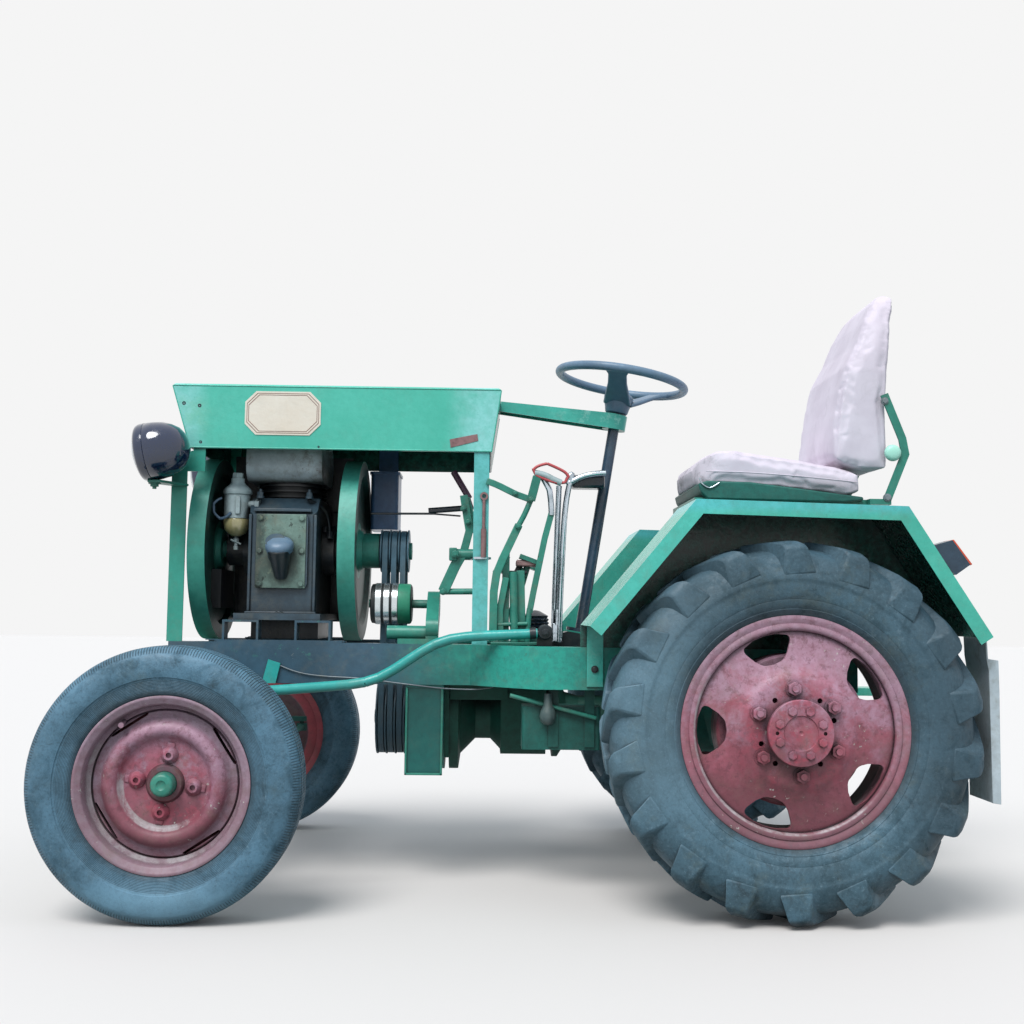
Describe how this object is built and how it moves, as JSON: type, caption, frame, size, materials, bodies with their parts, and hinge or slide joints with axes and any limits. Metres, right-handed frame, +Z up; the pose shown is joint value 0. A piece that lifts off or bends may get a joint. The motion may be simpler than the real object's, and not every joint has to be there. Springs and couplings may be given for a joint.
{
  "type": "farm tractor",
  "caption": "Home-built open farm tractor with a flat hood, side-lying belts to the gearbox, twin flywheels, a high seat, box fenders and lug tyres.",
  "frame": {"origin": "middle of the bounding box, on the ground", "axes": "+X forward, +Y the left side, +Z up"},
  "size_m": [2.333, 1.484, 1.675],
  "materials": {
    "green_paint": "sea green brushed-on enamel, worn and dusty",
    "slate_paint": "dark slate-blue enamel over older green",
    "maroon_paint": "faded maroon wheel enamel with pale dust",
    "black_paint": "black enamel",
    "engine_grey": "oily blue-grey engine paint",
    "tyre_rubber": "dusty blue-grey rubber",
    "belt_rubber": "black rubber and canvas",
    "bare_steel": "bare worn steel",
    "chrome_tube": "chromed tube",
    "seat_vinyl": "pale lilac-beige seat vinyl",
    "wheel_plastic": "blue-grey moulded steering wheel"
  },
  "bodies": {
    "root": {"air_cleaner": "black_paint", "axle_bracket": "green_paint", "battery_box": "green_paint", "belts": "belt_rubber", "clutch_cradle": "green_paint", "column_support": "green_paint", "cross_members": "green_paint", "drawbar": "green_paint", "engine_bearers": "slate_paint", "engine_block": "engine_grey", "engine_cylinder": "engine_grey", "fender_left": "green_paint", "fender_right": "green_paint", "floor_plate": "black_paint", "front_axle_beam": "green_paint", "fuel_filter": "bare_steel", "fuel_tank": "engine_grey", "gear_levers": "green_paint", "gearbox": "green_paint", "hand_rail": "chrome_tube", "headlamps": "black_paint", "hood": "green_paint", "hood_posts": "green_paint", "idler_bracket": "green_paint", "lever_linkage": "green_paint", "mud_flaps": "belt_rubber", "pedals": "green_paint", "rail_left": "slate_paint", "rail_right": "slate_paint", "rear_axle": "green_paint", "rear_lamps": "black_paint", "seat_back": "seat_vinyl", "seat_cushion": "seat_vinyl", "seat_frame": "black_paint", "steering_box": "black_paint", "steering_column": "black_paint"},
    "knuckle_left": {"knuckle_left": "green_paint"},
    "knuckle_right": {"knuckle_right": "green_paint"},
    "front_wheel_left": {"front_tyre_left": "tyre_rubber", "front_wheel_left": "maroon_paint"},
    "front_wheel_right": {"front_tyre_right": "tyre_rubber", "front_wheel_right": "maroon_paint"},
    "rear_wheel_left": {"rear_tyre_left": "tyre_rubber", "rear_wheel_left": "maroon_paint"},
    "rear_wheel_right": {"rear_tyre_right": "tyre_rubber", "rear_wheel_right": "maroon_paint"},
    "crank": {"flywheels": "green_paint", "crank_pulley": "bare_steel"},
    "input_pulley": {"input_pulley": "bare_steel"},
    "belt_idler": {"belt_idler": "bare_steel"},
    "steering_wheel": {"steering_wheel": "wheel_plastic"},
    "drop_arm": {"drop_arm": "green_paint"},
    "drag_link": {"drag_link": "green_paint"},
    "tie_rod": {"tie_rod": "green_paint"}
  },
  "joints": [
    {"name": "steer_left", "type": "hinge", "parent": "root", "child": "knuckle_left", "pos_m": [0.8435, 0.538, 0.323], "axis": [0, 0, 1], "range_deg": [-30, 30]},
    {"name": "steer_right", "type": "hinge", "parent": "root", "child": "knuckle_right", "pos_m": [0.8435, -0.538, 0.323], "axis": [0, 0, 1], "range_deg": [-31, 31]},
    {"name": "roll_front_left", "type": "hinge", "parent": "knuckle_left", "child": "front_wheel_left", "pos_m": [0.8435, 0.648, 0.323], "axis": [0, 1, 0], "continuous": true},
    {"name": "roll_front_right", "type": "hinge", "parent": "knuckle_right", "child": "front_wheel_right", "pos_m": [0.8435, -0.648, 0.323], "axis": [0, 1, 0], "continuous": true},
    {"name": "roll_rear_left", "type": "hinge", "parent": "root", "child": "rear_wheel_left", "pos_m": [-0.6465, 0.605, 0.46], "axis": [0, 1, 0], "continuous": true},
    {"name": "roll_rear_right", "type": "hinge", "parent": "root", "child": "rear_wheel_right", "pos_m": [-0.6465, -0.605, 0.46], "axis": [0, 1, 0], "continuous": true},
    {"name": "crank_spin", "type": "hinge", "parent": "root", "child": "crank", "pos_m": [0.6645, 0, 0.91], "axis": [1, 0, 0], "continuous": true},
    {"name": "input_spin", "type": "hinge", "parent": "root", "child": "input_pulley", "pos_m": [0.3615, 0, 0.43], "axis": [1, 0, 0], "continuous": true},
    {"name": "idler_spin", "type": "hinge", "parent": "root", "child": "belt_idler", "pos_m": [0.3595, 0.13277, 0.755], "axis": [1, 0, 0], "continuous": true},
    {"name": "steering_wheel_turn", "type": "hinge", "parent": "root", "child": "steering_wheel", "pos_m": [-0.3015, 0, 1.426], "axis": [-0.1562, 0, 0.9877], "range_deg": [-365, 365]},
    {"name": "drop_arm_swing", "type": "hinge", "parent": "root", "child": "drop_arm", "pos_m": [-0.0645, 0.33, 0.573], "axis": [0, 1, 0], "range_deg": [-31, 31]},
    {"name": "drag_link_pivot", "type": "hinge", "parent": "drop_arm", "child": "drag_link", "pos_m": [-0.0645, 0.33, 0.683], "axis": [0, 1, 0], "range_deg": [-31, 31]},
    {"name": "tie_rod_pivot", "type": "hinge", "parent": "knuckle_left", "child": "tie_rod", "pos_m": [0.7005, 0.538, 0.352], "axis": [0, 0, 1], "range_deg": [-31, 31]}
  ],
  "couplings": [
    {"joint": "steer_right", "follows": "steer_left", "ratio": 1},
    {"joint": "steering_wheel_turn", "follows": "steer_left", "ratio": 12},
    {"joint": "drop_arm_swing", "follows": "steer_left", "ratio": 0.80493},
    {"joint": "drag_link_pivot", "follows": "steer_left", "ratio": -0.80493},
    {"joint": "tie_rod_pivot", "follows": "steer_left", "ratio": -1},
    {"joint": "input_spin", "follows": "crank_spin", "ratio": 0.53439},
    {"joint": "idler_spin", "follows": "crank_spin", "ratio": -0.87069}
  ]
}
